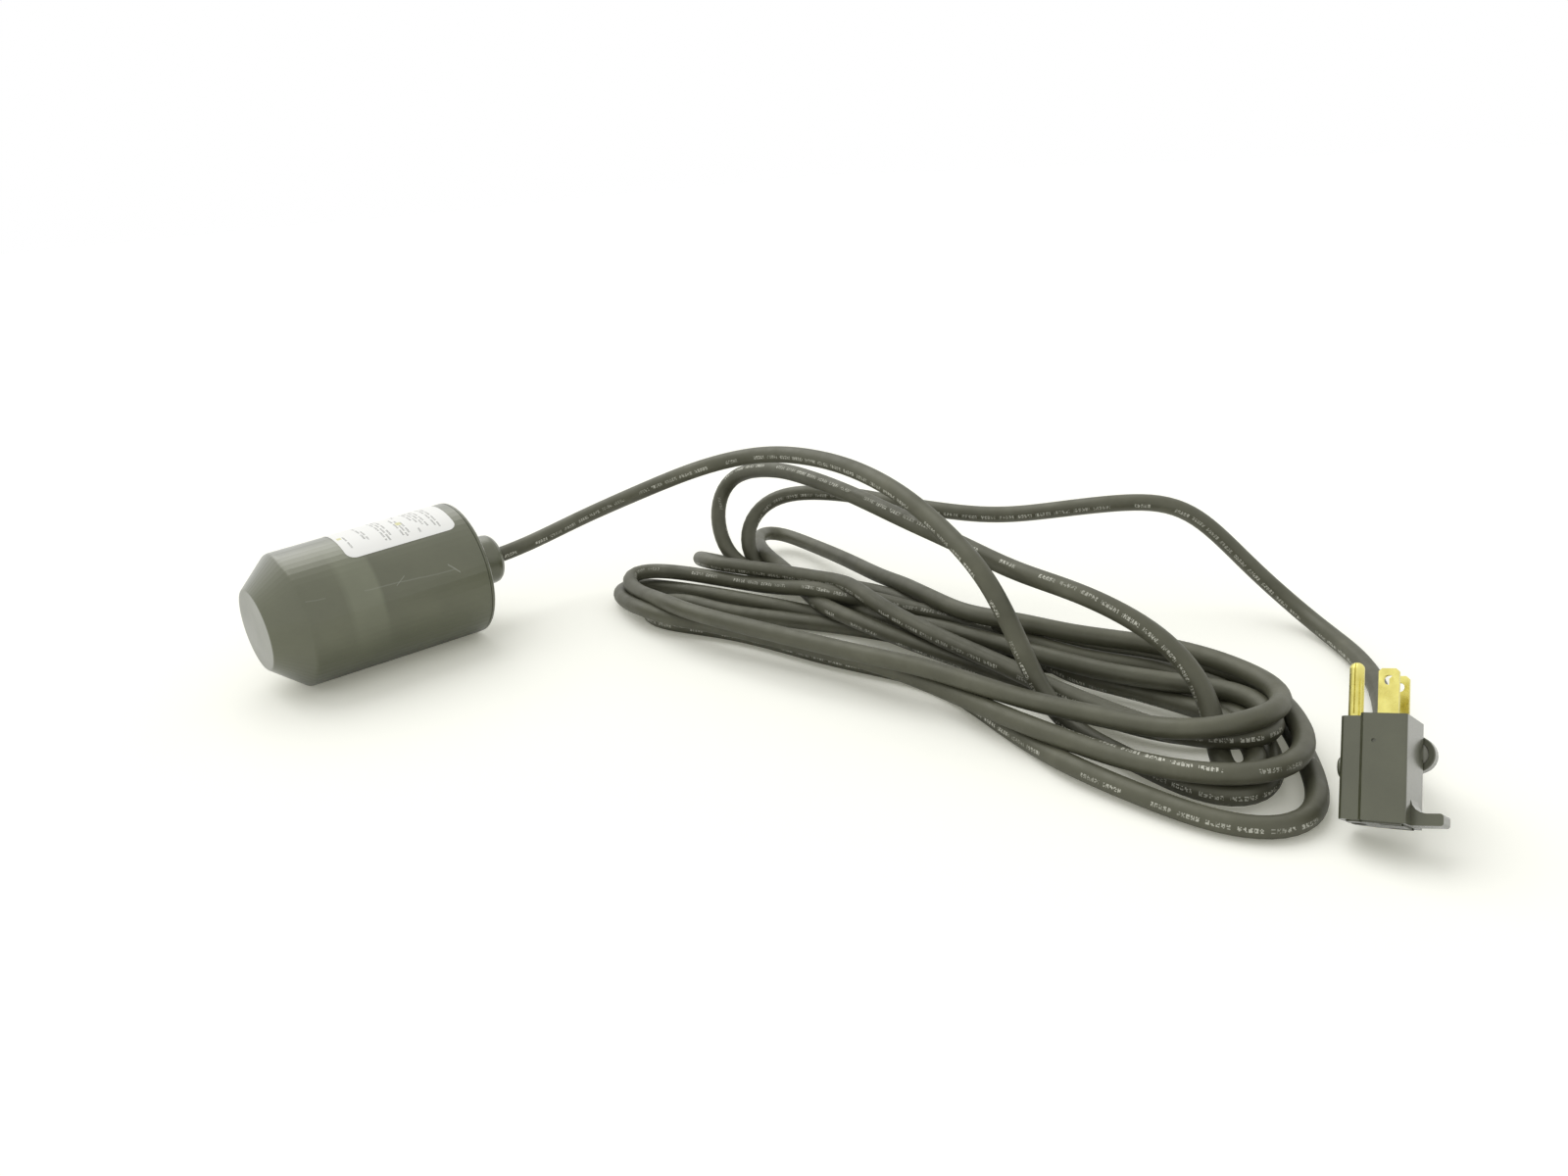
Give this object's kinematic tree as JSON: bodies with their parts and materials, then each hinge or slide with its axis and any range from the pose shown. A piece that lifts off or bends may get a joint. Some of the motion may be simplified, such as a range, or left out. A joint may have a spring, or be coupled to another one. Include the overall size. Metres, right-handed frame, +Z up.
{
  "type": "cable float switch",
  "caption": "Cable float switch for a sump pump: moulded cylindrical float with a tapered nose, round rubber cable in a loose hank, and a grounded series plug.",
  "frame": {"origin": "on the bench, under the middle of the float and its gland, as the float lies on its side", "axes": "+X runs along the float's axis from the nose to the cable's gland, +Z is up from the bench, and the cable and plug lie towards -Y"},
  "size_m": [0.3774, 0.48, 0.0993],
  "materials": {
    "float_plastic": "satin",
    "carrier_plastic": "satin",
    "switch_plastic": "satin",
    "potting_resin": "gloss",
    "seal_rubber": "matte",
    "cable_rubber": "matte",
    "plug_plastic": "satin",
    "black_core": "satin",
    "white_core": "satin",
    "brass": "satin",
    "steel": "satin"
  },
  "bodies": {
    "switch": {"float_shell": "float_plastic", "end_cap": "float_plastic", "cable_seal": "seal_rubber", "potting": "potting_resin", "switch_carrier": "carrier_plastic", "steel_ball": "steel", "lever_pin": "steel", "switch_case": "switch_plastic", "switch_cover": "switch_plastic", "switch_pin_lower": "steel", "switch_pin_upper": "steel", "terminal_common": "brass", "terminal_open": "brass", "connector_common": "brass", "connector_open": "brass", "core_black": "black_core", "core_white": "white_core", "cable_lead": "cable_rubber", "cable_loop": "cable_rubber", "cable_tail": "cable_rubber", "cable_hank": "cable_rubber", "plug_body": "plug_plastic", "receptacle_plate": "plug_plastic", "plug_strain_relief": "plug_plastic", "line_blade": "brass", "line_contact": "brass", "neutral_blade": "brass", "ground_pin": "brass"},
    "lever": {"actuator_lever": "steel"},
    "button": {"switch_button": "carrier_plastic"}
  },
  "joints": [
    {"name": "lever_swing", "type": "hinge", "parent": "switch", "child": "lever", "pos_m": [-0.00765, 0, 0.0224], "axis": [0, 1, 0], "range_deg": [0, 6.5], "stiffness_Nm_per_rad": 0.005},
    {"name": "button_travel", "type": "slide", "parent": "switch", "child": "button", "axis": [1, 0, 0], "range_m": [0, 0.0009]}
  ],
  "couplings": [
    {"joint": "button_travel", "follows": "lever_swing", "m_per_rad": 0.0075}
  ]
}
